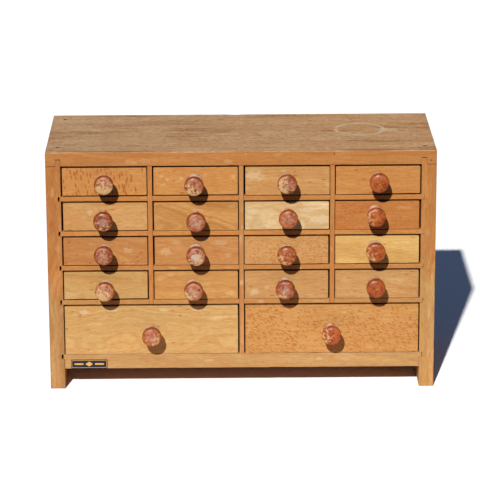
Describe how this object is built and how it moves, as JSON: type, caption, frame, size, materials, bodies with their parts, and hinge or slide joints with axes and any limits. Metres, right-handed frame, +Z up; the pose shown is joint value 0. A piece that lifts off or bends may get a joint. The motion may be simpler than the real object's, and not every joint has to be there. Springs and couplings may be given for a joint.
{
  "type": "apothecary cabinet",
  "caption": "Low beech table-top cabinet with rows of small pull-out drawers above wider ones, turned mushroom knobs, and plain sides that run down as feet.",
  "frame": {"origin": "on the floor, under the centre of the cabinet's bounding box, knobs included", "axes": "+X to the right as seen from the front, +Y to the back, +Z up"},
  "size_m": [0.6, 0.2756, 0.382],
  "materials": {
    "top_wood": "weathered, dull",
    "case_wood": "old satin varnish",
    "drawer_wood": "old satin varnish",
    "inner_wood": "bare, planed",
    "knob_varnish": "glossy red-brown varnish, worn",
    "plate_enamel": "dark enamel with a gilt line"
  },
  "bodies": {
    "case": {"top_board": "top_wood", "left_side": "case_wood", "right_side": "case_wood", "bottom_board": "case_wood", "back_panel": "inner_wood", "shelf_1": "case_wood", "shelf_2": "case_wood", "shelf_3": "case_wood", "shelf_4": "case_wood", "divider_left": "case_wood", "divider_centre": "case_wood", "divider_right": "case_wood", "maker_plate": "plate_enamel"},
    "drawer_a1": {"drawer_a1_box": "drawer_wood", "drawer_a1_knob": "knob_varnish"},
    "drawer_a2": {"drawer_a2_box": "drawer_wood", "drawer_a2_knob": "knob_varnish"},
    "drawer_a3": {"drawer_a3_box": "drawer_wood", "drawer_a3_knob": "knob_varnish"},
    "drawer_a4": {"drawer_a4_box": "drawer_wood", "drawer_a4_knob": "knob_varnish"},
    "drawer_b1": {"drawer_b1_box": "drawer_wood", "drawer_b1_knob": "knob_varnish"},
    "drawer_b2": {"drawer_b2_box": "drawer_wood", "drawer_b2_knob": "knob_varnish"},
    "drawer_b3": {"drawer_b3_box": "drawer_wood", "drawer_b3_knob": "knob_varnish"},
    "drawer_b4": {"drawer_b4_box": "drawer_wood", "drawer_b4_knob": "knob_varnish"},
    "drawer_c1": {"drawer_c1_box": "drawer_wood", "drawer_c1_knob": "knob_varnish"},
    "drawer_c2": {"drawer_c2_box": "drawer_wood", "drawer_c2_knob": "knob_varnish"},
    "drawer_c3": {"drawer_c3_box": "drawer_wood", "drawer_c3_knob": "knob_varnish"},
    "drawer_c4": {"drawer_c4_box": "drawer_wood", "drawer_c4_knob": "knob_varnish"},
    "drawer_d1": {"drawer_d1_box": "drawer_wood", "drawer_d1_knob": "knob_varnish"},
    "drawer_d2": {"drawer_d2_box": "drawer_wood", "drawer_d2_knob": "knob_varnish"},
    "drawer_d3": {"drawer_d3_box": "drawer_wood", "drawer_d3_knob": "knob_varnish"},
    "drawer_d4": {"drawer_d4_box": "drawer_wood", "drawer_d4_knob": "knob_varnish"},
    "drawer_e1": {"drawer_e1_front": "drawer_wood", "drawer_e1_left_side": "inner_wood", "drawer_e1_right_side": "inner_wood", "drawer_e1_back": "inner_wood", "drawer_e1_bottom": "inner_wood", "drawer_e1_knob": "knob_varnish"},
    "drawer_e2": {"drawer_e2_front": "drawer_wood", "drawer_e2_left_side": "inner_wood", "drawer_e2_right_side": "inner_wood", "drawer_e2_back": "inner_wood", "drawer_e2_bottom": "inner_wood", "drawer_e2_knob": "knob_varnish"}
  },
  "joints": [
    {"name": "drawer_a1_slide", "type": "slide", "parent": "case", "child": "drawer_a1", "axis": [0, -1, 0], "range_m": [0, 0.19]},
    {"name": "drawer_a2_slide", "type": "slide", "parent": "case", "child": "drawer_a2", "axis": [0, -1, 0], "range_m": [0, 0.19]},
    {"name": "drawer_a3_slide", "type": "slide", "parent": "case", "child": "drawer_a3", "axis": [0, -1, 0], "range_m": [0, 0.19]},
    {"name": "drawer_a4_slide", "type": "slide", "parent": "case", "child": "drawer_a4", "axis": [0, -1, 0], "range_m": [0, 0.19]},
    {"name": "drawer_b1_slide", "type": "slide", "parent": "case", "child": "drawer_b1", "axis": [0, -1, 0], "range_m": [0, 0.19]},
    {"name": "drawer_b2_slide", "type": "slide", "parent": "case", "child": "drawer_b2", "axis": [0, -1, 0], "range_m": [0, 0.19]},
    {"name": "drawer_b3_slide", "type": "slide", "parent": "case", "child": "drawer_b3", "axis": [0, -1, 0], "range_m": [0, 0.19]},
    {"name": "drawer_b4_slide", "type": "slide", "parent": "case", "child": "drawer_b4", "axis": [0, -1, 0], "range_m": [0, 0.19]},
    {"name": "drawer_c1_slide", "type": "slide", "parent": "case", "child": "drawer_c1", "axis": [0, -1, 0], "range_m": [0, 0.19]},
    {"name": "drawer_c2_slide", "type": "slide", "parent": "case", "child": "drawer_c2", "axis": [0, -1, 0], "range_m": [0, 0.19]},
    {"name": "drawer_c3_slide", "type": "slide", "parent": "case", "child": "drawer_c3", "axis": [0, -1, 0], "range_m": [0, 0.19]},
    {"name": "drawer_c4_slide", "type": "slide", "parent": "case", "child": "drawer_c4", "axis": [0, -1, 0], "range_m": [0, 0.19]},
    {"name": "drawer_d1_slide", "type": "slide", "parent": "case", "child": "drawer_d1", "axis": [0, -1, 0], "range_m": [0, 0.19]},
    {"name": "drawer_d2_slide", "type": "slide", "parent": "case", "child": "drawer_d2", "axis": [0, -1, 0], "range_m": [0, 0.19]},
    {"name": "drawer_d3_slide", "type": "slide", "parent": "case", "child": "drawer_d3", "axis": [0, -1, 0], "range_m": [0, 0.19]},
    {"name": "drawer_d4_slide", "type": "slide", "parent": "case", "child": "drawer_d4", "axis": [0, -1, 0], "range_m": [0, 0.19]},
    {"name": "drawer_e1_slide", "type": "slide", "parent": "case", "child": "drawer_e1", "axis": [0, -1, 0], "range_m": [0, 0.19]},
    {"name": "drawer_e2_slide", "type": "slide", "parent": "case", "child": "drawer_e2", "axis": [0, -1, 0], "range_m": [0, 0.19]}
  ]
}
